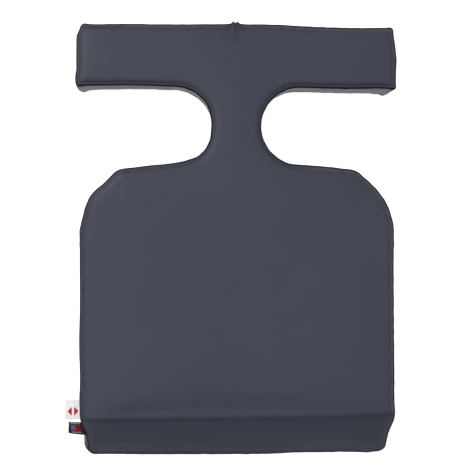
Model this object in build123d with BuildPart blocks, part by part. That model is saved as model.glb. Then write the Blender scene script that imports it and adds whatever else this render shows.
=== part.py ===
from build123d import *
import math
import os

# T-headed foam pad in a sewn vinyl cover, lying flat.
# Frame: +Z up out of the working face, +Y towards the head bar, origin on the underside
# at the middle of the length and width. The zip is in the left flank, on the -X side.
# All sizes in millimetres.

# ---------------------------------------------------------------- pad dimensions
pad_length = 635.0          # head bar to bevelled rear edge (25 in)
head_width = 457.0          # across the head bar (18 in)
body_width = 449.0          # across the lower pad
base_foam_t = 50.8          # 2 in firm core
comfort_foam_t = 12.7       # 1/2 in soft topper
comfort_foam_trim = 0.2     # taken off the topper's upper face to fit the cover
foam_gap = 0.05             # between core and topper
vinyl_t = 1.0               # cover fabric
ease = 0.1                  # gap between foam and cover
foam_inset = vinyl_t + ease
foam_split_z = foam_inset + base_foam_t
pad_t = base_foam_t + comfort_foam_t + 2 * foam_inset - comfort_foam_trim

head_bar_depth = 88.0       # head bar, front to back
notch_radius = 56.0         # round inner end of each side cut-out
neck_width = 70.0           # neck at its narrowest
shoulder_slope = 4.7        # degrees the lower edge of the cut-out falls away
shoulder_x = 163.0          # where the rounded shoulder starts
shoulder_turn_r = 24.0      # first turn of the shoulder
shoulder_angle = 45.0       # degrees of fall after that turn
shoulder_flat = 28.0        # short straight run, then one sweep down to the flank
head_corner_r = 7.0
bar_corner_r = 5.0
rear_corner_r = 18.0

bevel_run = 76.0            # length of the bevelled rear end, along Y
rear_lip = 8.0              # height of the rear edge

front_y = pad_length / 2
rear_y = -front_y
bar_y = front_y - head_bar_depth          # rear face of the head bar
notch_x = neck_width / 2 + notch_radius
notch_y = bar_y - notch_radius
head_x = head_width / 2
flank_x = body_width / 2
bevel_grade = (pad_t - rear_lip) / bevel_run
bevel_angle = math.atan(bevel_grade)

pick_tol = 0.1              # reach of the vertex and edge selectors
beyond = 400.0              # past the pad on every side, for cutting away

# ---------------------------------------------------------------- zip dimensions
zip_front_y = 10.0          # ends of the zip opening
zip_rear_y = -238.0
zip_z = pad_t / 2           # centre line of the zip
zip_half = 12.0 / 2         # half the space between the folded edges beside the chain
tape_t = 0.6
tape_w = 13.75
tape_wall_gap = 0.05
tape_over_front = 2.0       # tape runs on under the boxing at each end
tape_over_rear = 10.0
chain_half_gap = 1.0 / 2    # each chain half starts this far from the centre line
coil_w = 2.35
coil_t = 2.15
coil_corner_r = 0.7
coil_edge = chain_half_gap + coil_w       # far edge of a chain half, from the centre line

wall_out = -flank_x                       # outside face of the left flank
wall_in = wall_out + vinyl_t
tape_out = wall_in + tape_wall_gap        # tape lies against the inside of the wall
tape_in = tape_out + tape_t
coil_out = tape_out - coil_t              # outside of the chain

coil_rear_y = zip_rear_y + 2.2
coil_front_y = zip_front_y - 3.0

zip_y = (zip_rear_y, zip_front_y)
wall_x = (wall_out, wall_in)
coil_x = (coil_out, tape_out)

# relief in the foam behind the zip
relief_depth = 2.6
relief_over_wall = 1.0      # cut starts this far outside the wall's inner face
relief_half_h = 16.0
relief_over_rear = 12.0
relief_over_front = 4.0

stop_l = 2.2
stop_gap = 0.1              # between a stop and the end of the chain
stop_over = 0.3             # how far a stop reaches past the edge of the chain
stop_fillet = 0.5

stitch_t = 0.3
stitch_h = 0.7
stitch_off = zip_half + 2.2               # inner edge, from the centre line
stitch_end = 1.0                          # stops short of each end of the opening

# ---------------------------------------------------------------- slider and pull dimensions
slider_l = 13.0
slider_clear = 0.3
mouth_half = 8.4 / 2                      # half width at the front, where the plate is widest
tail_half = mouth_half - 0.3              # half width at the rear
taper_start = 1.0                         # in front of the slider's middle
plate_t = 1.0
back_plate_t = 0.9
post_half_t = 0.7 / 2
post_rear = 2.0                           # post starts this far in front of the middle
post_front_gap = 0.8                      # and stops this short of the front
crown_half_l = 3.7
crown_t = 0.9
crown_leg = 1.0
crown_half_w = 1.1
crown_fillet = 0.6
pivot_r = 0.6
pivot_off = 1.2                           # cross bar's axis, from the outer plate
pivot_clear = 0.15

slider_y = coil_front_y - 0.4 - slider_l / 2      # middle of the slider
slider_rear_y = slider_y - slider_l / 2
slider_front_y = slider_y + slider_l / 2
plate_in = coil_out - slider_clear                # inside face of the outer plate
plate_out = plate_in - plate_t
pivot_x = plate_out - pivot_off
crown_in = pivot_x - pivot_r - pivot_clear
crown_out = crown_in - crown_t
back_out = tape_in + slider_clear                 # plate behind the tapes

pull_arm_in = 1.35          # arm edges, from the centre line
pull_arm_out = 2.7
pull_arm_l = 6.0            # distances back from the cross bar
pull_grip_start = 9.0
pull_len = 27.0
pull_grip_half = 3.6
pull_t = 1.0
pull_window_l = 6.2         # window between the arms
pull_window_back = 2.5
pull_slot_l = 5.0           # slot across the grip
pull_slot_w = 2.6
pull_slot_inset = 4.5       # slot centre, from the end of the grip
pull_corner_r = 2.2
pull_end_y = slider_y - pull_len

# ---------------------------------------------------------------- label dimensions
# each label ends in a rolled edge that sits at its seam and turns about its own axis
label_t = 0.5
label_roll_r = 0.3
label_axis_x = wall_out - 0.4

maker_label_len = 22.2      # how far it stands out of the seam
maker_label_y = (-244.5, -217.5)
maker_label_z = pad_t - vinyl_t - 0.6
maker_corner_r = 1.5

origin_label_len = 18.8
origin_label_w = 27.0
origin_label_y = -263.0
origin_label_depth = 1.4    # below the bevelled face, square to it
origin_label_z = (
    rear_lip
    + (origin_label_y - rear_y) * bevel_grade
    - origin_label_depth / math.cos(bevel_angle)
)


# ---------------------------------------------------------------- shared helpers
def plan_outline(z, inset):
    """Plan outline of the pad at height z, drawn in by inset all round."""
    fall = math.radians(shoulder_slope)
    x_head = head_x - inset
    x_flank = flank_x - inset
    y_front = front_y - inset
    y_bar = bar_y + inset
    y_rear = rear_y + inset
    with BuildSketch(Plane.XY.offset(z)) as plan:
        with BuildLine():
            front = Line((0, y_front), (x_head, y_front))
            end = Line(front @ 1, (x_head, y_bar))
            Line(end @ 1, (notch_x, y_bar))
            notch = CenterArc((notch_x, notch_y), notch_radius + inset, 90, 180 - shoulder_slope)
            start = notch @ 1
            run = (shoulder_x - inset * math.sin(fall) - start.X) / math.cos(fall)
            slope_end = (start.X + run * math.cos(fall), start.Y - run * math.sin(fall))
            slope = Line(start, slope_end)
            turn = JernArc(
                slope @ 1,
                slope % 1,
                shoulder_turn_r - inset,
                -(shoulder_angle - shoulder_slope),
            )
            flat = PolarLine(turn @ 1, shoulder_flat, -shoulder_angle)
            # radius that brings the sweep out tangent to the flank
            sweep_r = (x_flank - (flat @ 1).X) / (1 - math.cos(math.radians(shoulder_angle)))
            sweep = JernArc(flat @ 1, flat % 1, sweep_r, -shoulder_angle)
            flank = Line(sweep @ 1, (x_flank, y_rear))
            rear = Line(flank @ 1, (0, y_rear))
            Line(rear @ 1, (0, y_front))
        make_face()
        mirror(about=Plane.YZ)
        # front corners, rear corners of the head bar, then rear corners of the pad
        sides = plan.vertices().filter_by(lambda v: abs(v.X) > 0.9 * flank_x)
        fillet(sides.filter_by(lambda v: v.Y > y_front - pick_tol), head_corner_r - inset)
        sides = plan.vertices().filter_by(lambda v: abs(v.X) > x_head - pick_tol)
        fillet(sides.filter_by(lambda v: abs(v.Y - y_bar) < pick_tol), bar_corner_r - inset)
        sides = plan.vertices().filter_by(lambda v: abs(v.X) > 0.9 * flank_x)
        fillet(sides.filter_by(lambda v: v.Y < y_rear + pick_tol), rear_corner_r - inset)
    return plan.sketch


def side_points(inset):
    """Top z, rear y, z of the rear edge and y of the crease, drawn in by inset."""
    lift = inset / math.cos(bevel_angle)
    top = pad_t - inset
    y_end = rear_y + inset
    z_end = rear_lip + inset * bevel_grade - lift
    y_crease = rear_y + (top - rear_lip + lift) / bevel_grade
    return top, y_end, z_end, y_crease


def trim_to_side(inset, bottom, front_inset=0.0):
    """Keep only what lies inside the side profile drawn in by inset, above bottom."""
    top, y_end, z_end, y_crease = side_points(inset)
    y_front = front_y - front_inset
    with BuildSketch(Plane.YZ) as profile:
        with BuildLine():
            Polyline(
                (y_end, bottom),
                (y_front, bottom),
                (y_front, top),
                (y_crease, top),
                (y_end, z_end),
                close=True,
            )
        make_face()
    extrude(profile.sketch, amount=head_width, both=True, mode=Mode.INTERSECT)


def block(x_span, y_span, z_span, mode=Mode.ADD):
    """Square-edged block from its (low, high) limits on each axis."""
    (x0, x1), (y0, y1), (z0, z1) = x_span, y_span, z_span
    with BuildSketch(Plane.XY.offset(z0)) as base:
        with Locations(((x0 + x1) / 2, (y0 + y1) / 2)):
            Rectangle(x1 - x0, y1 - y0)
    extrude(base.sketch, amount=z1 - z0, mode=mode)


def zip_span(side, near, far):
    """Z limits of a strip above (side 1) or below (side -1) the zip's centre line."""
    return sorted((zip_z + side * near, zip_z + side * far))


def zip_centred(half):
    """Z limits of a strip centred on the zip."""
    return (zip_z - half, zip_z + half)


# ---------------------------------------------------------------- foam
def make_base_foam():
    with BuildPart() as foam:
        extrude(plan_outline(0, foam_inset), amount=foam_split_z - foam_gap)
        trim_to_side(foam_inset, foam_inset, foam_inset)
        # shallow relief in the left flank where the zip tapes and slider run
        block(
            (wall_in - relief_over_wall, wall_in + relief_depth),
            (zip_rear_y - relief_over_rear, zip_front_y + relief_over_front),
            zip_centred(relief_half_h),
            mode=Mode.SUBTRACT,
        )
    return foam.part


def make_comfort_foam():
    with BuildPart() as foam:
        extrude(plan_outline(foam_split_z, foam_inset), amount=comfort_foam_t)
        trim_to_side(foam_inset, foam_inset, foam_inset)
    return foam.part


# ---------------------------------------------------------------- cover panels
def make_top_panel():
    """Top of the cover, running down the bevel and the rear edge."""
    out_top, out_y, out_z, out_crease = side_points(0)
    in_top, in_y, in_z, in_crease = side_points(vinyl_t)
    with BuildPart() as panel:
        extrude(plan_outline(0, 0), amount=pad_t)
        with BuildSketch(Plane.YZ):
            with BuildLine():
                Polyline(
                    (out_y, vinyl_t),
                    (out_y, out_z),
                    (out_crease, out_top),
                    (front_y, out_top),
                    (front_y, in_top),
                    (in_crease, in_top),
                    (in_y, in_z),
                    (in_y, vinyl_t),
                    close=True,
                )
            make_face()
        extrude(amount=head_width, both=True, mode=Mode.INTERSECT)
    return panel.part


def make_bottom_panel():
    with BuildPart() as panel:
        extrude(plan_outline(0, 0), amount=vinyl_t)
    return panel.part


def make_boxing(*cuts):
    """Side wall between the two panels, less the (x_span, y_span) areas in cuts."""
    with BuildPart() as boxing:
        extrude(plan_outline(0, 0), amount=pad_t)
        extrude(plan_outline(0, vinyl_t), amount=pad_t, mode=Mode.SUBTRACT)
        trim_to_side(vinyl_t, vinyl_t)
        for x_span, y_span in cuts:
            block(x_span, y_span, (-1, pad_t + 1), mode=Mode.SUBTRACT)
    return boxing.part


# ---------------------------------------------------------------- zip in the left flank
def make_strip(x_span, y_span, z_span):
    """A plain rectangular piece."""
    with BuildPart() as strip:
        block(x_span, y_span, z_span)
    return strip.part


def make_zip_boxing(side):
    """Wall between the zip and the top or bottom panel."""
    return make_strip(wall_x, zip_y, zip_span(side, zip_half, pad_t / 2 - vinyl_t))


def make_zip_tape(side):
    return make_strip(
        (tape_out, tape_in),
        (zip_rear_y - tape_over_rear, zip_front_y + tape_over_front),
        zip_span(side, chain_half_gap, chain_half_gap + tape_w),
    )


def make_topstitch(side):
    """Stitching that holds a folded edge down on its tape."""
    return make_strip(
        (wall_out - stitch_t, wall_out),
        (zip_rear_y + stitch_end, zip_front_y - stitch_end),
        zip_span(side, stitch_off, stitch_off + stitch_h),
    )


def make_zip_coil(side):
    """One chain half: a rounded cord of coil on the outside of its tape."""
    coil_z = zip_z + side * (chain_half_gap + coil_w / 2)
    with BuildPart() as coil:
        with BuildSketch(Plane.XZ.offset(-coil_front_y)):
            with Locations(((coil_out + tape_out) / 2, coil_z)):
                RectangleRounded(coil_t, coil_w, coil_corner_r)
        extrude(amount=coil_front_y - coil_rear_y)
    return coil.part


def make_zip_top_stops():
    """Two clips at the front end of the chain, one on each half."""
    stop_rear_y = coil_front_y + stop_gap
    with BuildPart() as stops:
        for side in (1, -1):
            block(
                coil_x,
                (stop_rear_y, stop_rear_y + stop_l),
                zip_span(side, chain_half_gap, coil_edge + stop_over),
            )
        fillet(stops.faces().sort_by(Axis.X)[:2].edges(), stop_fillet)
    return stops.part


def make_zip_bottom_stop():
    """One clip across both halves at the rear end of the chain."""
    with BuildPart() as stop:
        block(coil_x, (zip_rear_y, coil_rear_y - stop_gap), zip_centred(coil_edge + stop_over))
        fillet(stop.faces().sort_by(Axis.X)[0].edges(), stop_fillet)
    return stop.part


def make_zip_slider():
    """Slider at the front end of the chain."""
    slider_span = (slider_rear_y, slider_front_y)
    crown_hole_half = crown_half_l - crown_leg
    with BuildPart() as slider:
        # outer plate: full width at the front, narrowing to the tail
        with BuildSketch(Plane.YZ.offset(plate_out)):
            with BuildLine():
                Polyline(
                    (slider_front_y, zip_z - mouth_half),
                    (slider_front_y, zip_z + mouth_half),
                    (slider_y + taper_start, zip_z + mouth_half),
                    (slider_rear_y, zip_z + tail_half),
                    (slider_rear_y, zip_z - tail_half),
                    (slider_y + taper_start, zip_z - mouth_half),
                    close=True,
                )
            make_face()
        extrude(amount=plate_t)
        # side flanges, stopping short of the tape
        for side in (-1, 1):
            block(
                (plate_in, tape_out - slider_clear),
                slider_span,
                zip_span(side, coil_edge + slider_clear, tail_half),
            )
        # plate behind the tapes, and the post between the chain halves
        block((back_out, back_out + back_plate_t), slider_span, zip_centred(tail_half))
        block(
            (plate_in, back_out),
            (slider_y + post_rear, slider_front_y - post_front_gap),
            zip_centred(post_half_t),
        )
        # crown that holds the pull
        block(
            (crown_out, plate_out),
            (slider_y - crown_half_l, slider_y + crown_half_l),
            zip_centred(crown_half_w),
        )
        block(
            (crown_in, plate_out),
            (slider_y - crown_hole_half, slider_y + crown_hole_half),
            zip_centred(crown_half_w),
            mode=Mode.SUBTRACT,
        )
        fillet(
            slider.edges()
            .filter_by(Axis.Z)
            .filter_by(lambda e: e.center().X < crown_out + 0.05),
            crown_fillet,
        )
    return slider.part


def make_zip_pull():
    """Pull tab: cross bar under the crown, two arms beside it, then the grip."""
    arm_end_y = slider_y - pull_arm_l
    grip_y = slider_y - pull_grip_start
    with BuildPart() as pull:
        with BuildSketch(Plane.XY.offset(zip_z - pull_arm_out)):
            with Locations((pivot_x, slider_y)):
                Circle(pivot_r)
        extrude(amount=2 * pull_arm_out)
        with BuildSketch(Plane.YZ.offset(pivot_x - pull_t / 2)):
            with BuildLine():
                Polyline(
                    (slider_y, zip_z - pull_arm_out),
                    (slider_y, zip_z + pull_arm_out),
                    (arm_end_y, zip_z + pull_arm_out),
                    (grip_y, zip_z + pull_grip_half),
                    (pull_end_y, zip_z + pull_grip_half),
                    (pull_end_y, zip_z - pull_grip_half),
                    (grip_y, zip_z - pull_grip_half),
                    (arm_end_y, zip_z - pull_arm_out),
                    close=True,
                )
            make_face()
            with Locations((slider_y - pull_window_back, zip_z)):
                Rectangle(pull_window_l, 2 * pull_arm_in, mode=Mode.SUBTRACT)
            with Locations((pull_end_y + pull_slot_inset, zip_z)):
                SlotOverall(pull_slot_l, pull_slot_w, rotation=90, mode=Mode.SUBTRACT)
        extrude(amount=pull_t)
        fillet(
            pull.edges()
            .filter_by(Axis.X)
            .filter_by(lambda e: e.center().Y < pull_end_y + pick_tol),
            pull_corner_r,
        )
    return pull.part


# ---------------------------------------------------------------- sewn-in labels
def make_maker_label():
    """Flat label standing out of the upper seam of the left flank."""
    label_rear_y, label_front_y = maker_label_y
    with BuildPart() as label:
        block(
            (label_axis_x - maker_label_len, label_axis_x),
            maker_label_y,
            (maker_label_z - label_t / 2, maker_label_z + label_t / 2),
        )
        fillet(label.edges().filter_by(Axis.Z).group_by(Axis.X)[0], maker_corner_r)
        with BuildSketch(Plane.XZ.offset(-label_front_y)):
            with Locations((label_axis_x, maker_label_z)):
                Circle(label_roll_r)
        extrude(amount=label_front_y - label_rear_y)
    return label.part


def make_origin_label():
    """Label that follows the slope of the bevelled end."""
    seam_point = (label_axis_x, origin_label_y, origin_label_z)
    slope_plane = Plane(
        origin=seam_point,
        x_dir=(-1, 0, 0),
        z_dir=(0, -math.sin(bevel_angle), math.cos(bevel_angle)),
    )
    roll_plane = Plane(
        origin=seam_point,
        x_dir=(1, 0, 0),
        z_dir=(0, math.cos(bevel_angle), math.sin(bevel_angle)),
    )
    with BuildPart() as label:
        with BuildSketch(slope_plane.offset(-label_t / 2)):
            with Locations((origin_label_len / 2, 0)):
                Rectangle(origin_label_len, origin_label_w)
        extrude(amount=label_t)
        with BuildSketch(roll_plane.offset(-origin_label_w / 2)):
            Circle(label_roll_r)
        extrude(amount=origin_label_w)
    return label.part


# ---------------------------------------------------------------- build and write the pieces
whole_y = (-beyond, beyond)
left_half = ((-beyond, 0.0), whole_y)
right_half = ((0.0, beyond), whole_y)
left_behind_zip_front = ((-beyond, 0.0), (-beyond, zip_front_y))
left_ahead_of_zip_rear = ((-beyond, 0.0), (zip_rear_y, beyond))

pieces = {
    "base_foam": make_base_foam(),
    "comfort_foam": make_comfort_foam(),
    "top_panel": make_top_panel(),
    "bottom_panel": make_bottom_panel(),
    "boxing_right": make_boxing(left_half),
    "boxing_left_front": make_boxing(right_half, left_behind_zip_front),
    "boxing_left_rear": make_boxing(right_half, left_ahead_of_zip_rear),
    "zip_top_stops": make_zip_top_stops(),
    "zip_bottom_stop": make_zip_bottom_stop(),
    "zip_slider": make_zip_slider(),
    "zip_pull": make_zip_pull(),
    "maker_label": make_maker_label(),
    "origin_label": make_origin_label(),
}
for level, side in (("upper", 1), ("lower", -1)):
    pieces[f"zip_boxing_{level}"] = make_zip_boxing(side)
    pieces[f"zip_tape_{level}"] = make_zip_tape(side)
    pieces[f"zip_coil_{level}"] = make_zip_coil(side)
    pieces[f"topstitch_{level}"] = make_topstitch(side)

os.makedirs("parts", exist_ok=True)
for name, piece in pieces.items():
    piece.label = name
    export_step(piece, f"parts/{name}.step")
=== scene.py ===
import math

import bpy
import numpy as np
from mathutils import Matrix, Vector
from mathutils.geometry import delaunay_2d_cdt


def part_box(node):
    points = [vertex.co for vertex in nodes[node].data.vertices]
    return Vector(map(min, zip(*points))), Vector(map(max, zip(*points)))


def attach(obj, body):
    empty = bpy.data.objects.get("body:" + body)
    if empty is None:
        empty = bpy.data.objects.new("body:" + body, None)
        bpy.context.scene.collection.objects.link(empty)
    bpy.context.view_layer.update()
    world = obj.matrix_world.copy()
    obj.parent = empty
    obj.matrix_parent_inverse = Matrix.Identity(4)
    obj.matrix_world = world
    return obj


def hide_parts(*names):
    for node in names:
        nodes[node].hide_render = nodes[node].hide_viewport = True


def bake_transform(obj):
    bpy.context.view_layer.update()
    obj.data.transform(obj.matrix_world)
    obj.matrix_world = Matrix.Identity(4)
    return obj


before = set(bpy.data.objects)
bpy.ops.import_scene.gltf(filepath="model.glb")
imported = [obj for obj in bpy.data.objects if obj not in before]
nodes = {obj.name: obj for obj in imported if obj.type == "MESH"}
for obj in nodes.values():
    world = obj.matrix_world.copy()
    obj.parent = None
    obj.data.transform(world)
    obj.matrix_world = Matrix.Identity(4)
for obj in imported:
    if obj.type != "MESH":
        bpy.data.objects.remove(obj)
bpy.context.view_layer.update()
MM = 0.001

# ------------------------------------------------------------------ sizes, in mm, from the frame
plate_lo, plate_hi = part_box("bottom_panel")
HEAD = plate_hi.x / MM                       # half width of the head bar
FRONT, REAR = plate_hi.y / MM, plate_lo.y / MM
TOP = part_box("top_panel")[1].z / MM          # flat top of the cover
FLANK = -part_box("zip_boxing_upper")[0].x / MM
ZIP_Y0, ZIP_Y1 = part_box("zip_boxing_upper")[0].y / MM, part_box("zip_boxing_upper")[1].y / MM
ZIP_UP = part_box("zip_boxing_upper")[0].z / MM
ZIP_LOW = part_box("zip_boxing_lower")[1].z / MM
BAR_Y = FRONT - 88.0
NOTCH_R = 56.0
NOTCH_X, NOTCH_Y = 35.0 + NOTCH_R, BAR_Y - NOTCH_R
LIP = 8.0
BEVEL_RUN = 76.0
CREASE = REAR + BEVEL_RUN
GRADE = (TOP - LIP) / BEVEL_RUN


# ------------------------------------------------------------------ plan outline
def arc(cx, cy, r, a0, a1, step=0.3):
    n = max(3, int(abs(math.radians(a1 - a0)) * r / step))
    t = np.radians(np.linspace(a0, a1, n))
    return np.stack([cx + r * np.cos(t), cy + r * np.sin(t)], 1)


def half_outline():
    """Right half of the pad's outline, from the middle of the head bar round to the middle of the rear edge."""
    pts = [np.array([[0.0, FRONT]])]
    rc = 4.0
    pts.append(arc(HEAD - rc, FRONT - rc, rc, 90, 0))
    rc = 4.5
    pts.append(arc(HEAD - rc, BAR_Y + rc, rc, 0, -90))
    fall = 4.7
    pts.append(arc(NOTCH_X, NOTCH_Y, NOTCH_R, 90, 270 - fall))
    p = pts[-1][-1]
    f = math.radians(fall)
    q = np.array([163.0, p[1] - (163.0 - p[0]) * math.tan(f)])
    r1 = 24.0
    c = q + r1 * np.array([-math.sin(f), -math.cos(f)])
    pts.append(arc(c[0], c[1], r1, 90 - fall, 45))
    p = pts[-1][-1]
    q = p + 28.0 * np.array([math.sqrt(0.5), -math.sqrt(0.5)])
    r2 = (FLANK - q[0]) / (1 - math.sqrt(0.5))
    pts.append(arc(q[0] - r2 * math.sqrt(0.5), q[1] - r2 * math.sqrt(0.5), r2, 45, 0))
    rc = 13.0
    pts.append(arc(FLANK - rc, REAR + rc, rc, 0, -90))
    pts.append(np.array([[0.0, REAR]]))
    return np.concatenate(pts)


def resample(p, n):
    seg = np.linalg.norm(np.diff(p, axis=0), axis=1)
    s = np.concatenate([[0], np.cumsum(seg)])
    t = np.linspace(0, s[-1], n + 1)
    return np.stack([np.interp(t, s, p[:, 0]), np.interp(t, s, p[:, 1])], 1), s[-1]


HALF_N = 700
half, HALF_LEN = resample(half_outline(), HALF_N)
OUT = np.concatenate([half, (half * np.array([-1, 1]))[::-1][1:-1]])
N = len(OUT)
DS = HALF_LEN / HALF_N
S = np.arange(N) * DS
LOOP = N * DS
tan = np.roll(OUT, -1, 0) - np.roll(OUT, 1, 0)
tan /= np.linalg.norm(tan, axis=1)[:, None]
INW = np.stack([tan[:, 1], -tan[:, 0]], 1)     # points into the pad
ang = np.unwrap(np.arctan2(tan[:, 1], tan[:, 0]))
curv = (np.roll(ang, -3) - np.roll(ang, 3)) / (6 * DS)
curv[:4] = curv[4]
curv[-4:] = curv[-5]
hollow = np.clip(curv * NOTCH_R, 0, 1)          # 1 round the cut-outs
TIGHT = np.clip(-curv * 13.0, 0, 1)              # 1 round the small corners
CURLY = np.maximum(hollow, np.clip(-curv * 52.0, 0, 1))   # 1 wherever the seam runs round a curve
for _ in range(6):
    hollow = (np.roll(hollow, 4) + hollow + np.roll(hollow, -4)) / 3
    CURLY = (np.roll(CURLY, 4) + CURLY + np.roll(CURLY, -4)) / 3
    TIGHT = (np.roll(TIGHT, 4) + TIGHT + np.roll(TIGHT, -4)) / 3


def waves(seed, lo, hi, count=14, period=None):
    """Smooth noise along the outline with wavelengths lo to hi mm, about -1 to 1."""
    rng = np.random.RandomState(seed)
    period = period or LOOP
    k = rng.randint(int(period / hi), int(period / lo) + 1, count)
    ph = rng.uniform(0, 2 * math.pi, count)
    am = rng.uniform(0.5, 1.0, count)

    def f(s):
        s = np.asarray(s, float)
        out = np.zeros_like(s)
        for a, b, c in zip(k, ph, am):
            out += c * np.sin(2 * math.pi * a * s / period + b)
        return out / (1.1 * math.sqrt(count))

    return f


def swell(seed, lo, hi, count=16):
    """Smooth 2D noise over the plan, wavelengths lo to hi mm, about -1 to 1."""
    rng = np.random.RandomState(seed)
    lam = rng.uniform(lo, hi, count)
    th = rng.uniform(0, 2 * math.pi, count)
    ph = rng.uniform(0, 2 * math.pi, count)

    def f(x, y):
        out = 0.0
        for l, t, p in zip(lam, th, ph):
            out = out + np.sin(2 * math.pi * (x * math.cos(t) + y * math.sin(t)) / l + p)
        return out / (1.1 * math.sqrt(count))

    return f


def bump(x, c, w):
    return np.exp(-(((x - c) / w) ** 2))


def smooth(x, a, b):
    t = np.clip((x - a) / (b - a), 0, 1)
    return t * t * (3 - 2 * t)


def at(x, y):
    """Place along the outline nearest to a point."""
    return S[np.argmin((OUT[:, 0] - x) ** 2 + (OUT[:, 1] - y) ** 2)]


def sdist(s, c):
    """Distance along the loop."""
    d = np.abs(s - c)
    return np.minimum(d, LOOP - d)


HEAD_JOIN = -3.1                              # where the side strips meet on the head bar

CORNERS = [
    (HEAD, FRONT, 1.0), (HEAD, BAR_Y, 1.0), (-HEAD, FRONT, 1.0), (-HEAD, BAR_Y, 1.0),
    (FLANK, REAR, 0.5), (-FLANK, REAR, 0.5),
]

# ------------------------------------------------------------------ shape of the cover
low_swell = swell(3, 90, 260)
mid_swell = swell(9, 35, 90)
fine_gather = waves(21, 5.5, 13, 30)
mid_gather = waves(22, 16, 45, 18)
edge_wander = waves(23, 90, 380, 12)


def base_top(x, y):
    """Height of the foam's top face with its rounded crease."""
    k = 2.6
    flat, ramp = TOP, LIP + (y - REAR) * GRADE
    # rounded meeting of the flat and the ramp
    h = np.clip(0.5 + 0.5 * (ramp - flat) / k, 0, 1)
    return ramp * (1 - h) + flat * h - k * h * (1 - h)


def crease_line(x):
    """Where the panel folds down onto the ramp."""
    return CREASE - 5.0 + 1.2 * smooth(x, -40, 110) + 3.0 * smooth(x, 120, 215)


def panel_base(x, y):
    return base_top(x, y - (crease_line(x) - CREASE) * bump(y, CREASE - 4, 26.0))


def top_surface(x, y, d, s, crown):
    z = panel_base(x, y) + crown
    inner = 1 - np.exp(-d / 26.0)
    z = z + (0.22 * low_swell(x, y) + 0.05 * mid_swell(x, y)) * inner
    fade = 0.15 + 0.85 * smooth(FLANK - np.abs(x), 12, 70)
    z = z - 0.22 * bump(y, crease_line(x) - 1.2, 2.6) * fade
    # the panel rounds down into its seam
    e = np.interp(s, S, EDGE_DROP, period=LOOP)
    z = z - e * np.exp(-np.maximum(d - RING_IN, 0) / 5.5)
    # gathers standing away from the seam
    near = np.exp(-d / 8.0) * smooth(d, 0.5, 4.0)
    far = np.exp(-d / 22.0) * smooth(d, 2.0, 12.0)
    curl = 0.10 + 1.25 * np.interp(s, S, CURLY, period=LOOP)
    loose = 1 - np.interp(s, S, TIGHT, period=LOOP) * smooth(d, 1.0, 5.0)
    z = z + (0.24 * fine_gather(s) * near * curl + 0.12 * mid_gather(s) * far) * loose
    # valley just inside the rolled seam
    z = z - 0.35 * bump(d, 5.4, 2.6)
    # diagonal pull from the corners
    for cx, cy, w in CORNERS:
        r = np.hypot(x - cx, y - cy)
        a = np.arctan2(y - cy, x - cx)
        z = z + w * 0.30 * np.sin(a * 7 + cx) * np.exp(-((r - 15) / 10.0) ** 2) * smooth(d, 1, 7)
    # pinch at the boxing's join in the middle of the head bar
    r = np.hypot(x - HEAD_JOIN, (y - FRONT + 2) * 0.8)
    a = np.arctan2(x - HEAD_JOIN, FRONT + 2 - y)
    z = z + (-1.0 * np.exp(-((r - 9) / 7.0) ** 2) + 0.45 * np.cos(a * 5) * np.exp(-((r - 9) / 6.0) ** 2)) * smooth(d, 1, 6)
    # small dimple near the rear right corner
    z = z - 0.5 * bump(np.hypot(x - 190, (y + 282) * 0.8), 0, 7.0)
    return z


EDGE_H = base_top(OUT[:, 0], OUT[:, 1])
WALL = np.clip(EDGE_H - LIP, 0, None)
TALL = np.clip(WALL / 30.0, 0, 1)
ROLL_O = 0.3
ROLL_R = 2.9
RING_IN = ROLL_O + ROLL_R
VALLEY_IN = ROLL_O + ROLL_R * (1 - math.sin(math.radians(150)))
EDGE_DROP = 0.9 + 2.9 * np.clip(WALL / 25.0, 0, 1)
Z_SEAM = EDGE_H - EDGE_DROP - 2.3 - 0.6 * np.clip(WALL / 12.0, 0, 1)
Z_LOW = np.full(N, 4.0)
REAR_RUN = OUT[:, 1] < REAR + 1.5
WALL_H = np.maximum(Z_SEAM - Z_LOW, 0.12)


# outward shift of the seam lines: slack, corner ears and the join in the middle of the head bar
def ears(s, width):
    out = 0.0
    for cx, cy, w in CORNERS[:4]:
        out = out + w * bump(sdist(s, at(cx, cy)), 0, width)
    return out


def join(s):
    """Two small peaks either side of the boxing's join."""
    x = np.minimum(s, LOOP - s) * np.where(s < LOOP / 2, 1, -1) - HEAD_JOIN
    return 4.4 * (bump(x, 3.0, 2.3) + bump(x, -3.0, 2.3)) + 1.6 * bump(x, 0, 9.0) - 1.0 * bump(x, 0, 1.4)


SEAM_OUT_TOP = 0.55 * edge_wander(S) + 0.22 * mid_gather(S) + 0.9 * ears(S, 6.0) + 0.75 * join(S)
SEAM_OUT_LOW = 0.6 * edge_wander(S + 300) + 0.3 * mid_gather(S + 90) + 3.2 * ears(S, 6.5) + 0.45 * join(S)
REAR_LEFT = np.exp(-((sdist(S, at(-FLANK, -283)) / 25.0) ** 4))
SEAM_OUT_TOP = SEAM_OUT_TOP - 3.6 * REAR_LEFT
SEAM_OUT_LOW = SEAM_OUT_LOW + 5.0 * REAR_LEFT
on_zip = ((OUT[:, 0] < 0) & (OUT[:, 1] > ZIP_Y0 - 6) & (OUT[:, 1] < ZIP_Y1 + 6)).astype(float)
for _ in range(5):
    on_zip = (np.roll(on_zip, 3) + on_zip + np.roll(on_zip, -3)) / 3
on_zip = np.clip(on_zip, 0, 1)
SEAM_OUT_TOP *= 1 - 0.6 * on_zip
SEAM_OUT_LOW *= 1 - 0.6 * on_zip


def along(x, y, width):
    """1 near a place on the outline, fading over width mm either way."""
    d = sdist(S, at(x, y)) / width
    return np.exp(-(d ** 4))


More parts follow.
